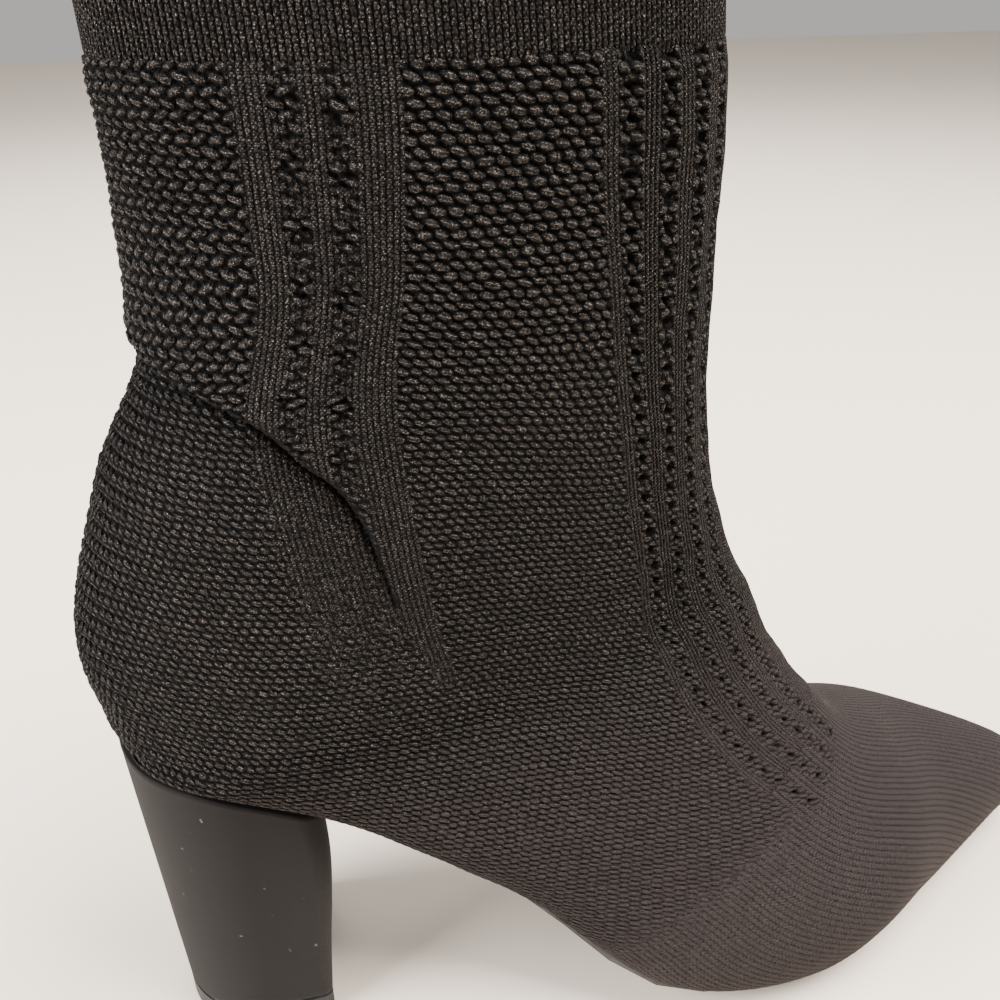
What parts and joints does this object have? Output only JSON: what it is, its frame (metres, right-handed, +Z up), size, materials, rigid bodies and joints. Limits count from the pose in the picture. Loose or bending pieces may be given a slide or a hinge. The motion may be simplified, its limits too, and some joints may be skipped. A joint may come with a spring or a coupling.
{
  "type": "ankle boot",
  "caption": "Pull-on ankle boot of black stretch knit with a ribbed cuff, a pointed toe, a thin rubber sole and a high block heel; right foot.",
  "frame": {"origin": "on the floor, in the middle of the heel's rubber tip", "axes": "+X to the toe, +Y to the inner side of the foot, +Z up"},
  "size_m": [0.2493, 0.0864, 0.2481],
  "materials": {
    "black_knit": "structured stretch knit, matt",
    "grey_lining": "smooth lining",
    "black_rubber": "satin",
    "black_microfibre": "brushed microfibre, matt"
  },
  "bodies": {
    "root": {"upper": "black_knit", "insole": "grey_lining", "outsole": "black_rubber", "heel_block": "black_microfibre", "heel_tip": "black_rubber"}
  },
  "joints": []
}
